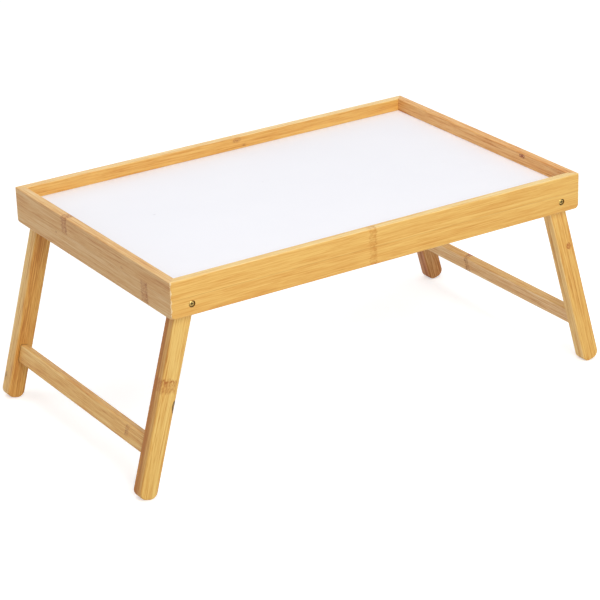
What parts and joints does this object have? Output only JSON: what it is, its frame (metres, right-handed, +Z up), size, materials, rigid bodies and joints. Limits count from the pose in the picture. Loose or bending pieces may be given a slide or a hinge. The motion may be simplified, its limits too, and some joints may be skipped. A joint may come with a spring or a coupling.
{
  "type": "bed tray table",
  "caption": "Folding tray table: a shallow mitred bamboo frame round a low-set white laminated board, on splayed leg frames that fold in flat beneath it.",
  "frame": {"origin": "on the floor, below the middle of the tray, with the legs open", "axes": "+X along the tray, +Y from the front rail to the back rail, +Z up"},
  "size_m": [0.579, 0.33, 0.23],
  "materials": {
    "bamboo": "satin clear lacquer on laminated bamboo",
    "white_laminate": "smooth, slightly glossy",
    "brass": "yellow zinc plate",
    "nail_steel": "bright",
    "nylon": "matt"
  },
  "bodies": {
    "tray": {"front_rail": "bamboo", "back_rail": "bamboo", "left_rail": "bamboo", "right_rail": "bamboo", "tray_panel": "white_laminate", "front_left_corner_nail": "nail_steel", "front_right_corner_nail": "nail_steel", "back_left_corner_nail": "nail_steel", "back_right_corner_nail": "nail_steel", "front_left_pivot_screw": "brass", "front_left_sleeve_nut": "brass", "front_left_spacer_washer": "nylon", "back_left_pivot_screw": "brass", "back_left_sleeve_nut": "brass", "back_left_spacer_washer": "nylon", "front_right_pivot_screw": "brass", "front_right_sleeve_nut": "brass", "front_right_spacer_washer": "nylon", "back_right_pivot_screw": "brass", "back_right_sleeve_nut": "brass", "back_right_spacer_washer": "nylon"},
    "left_leg_frame": {"front_left_leg": "bamboo", "back_left_leg": "bamboo", "left_stretcher": "bamboo"},
    "right_leg_frame": {"front_right_leg": "bamboo", "back_right_leg": "bamboo", "right_stretcher": "bamboo"}
  },
  "joints": [
    {"name": "left_frame_fold", "type": "hinge", "parent": "tray", "child": "left_leg_frame", "pos_m": [-0.2265, 0, 0.2025], "axis": [0, -1, 0], "range_deg": [0, 105.3]},
    {"name": "right_frame_fold", "type": "hinge", "parent": "tray", "child": "right_leg_frame", "pos_m": [0.2265, 0, 0.2025], "axis": [0, 1, 0], "range_deg": [0, 105.3]}
  ]
}
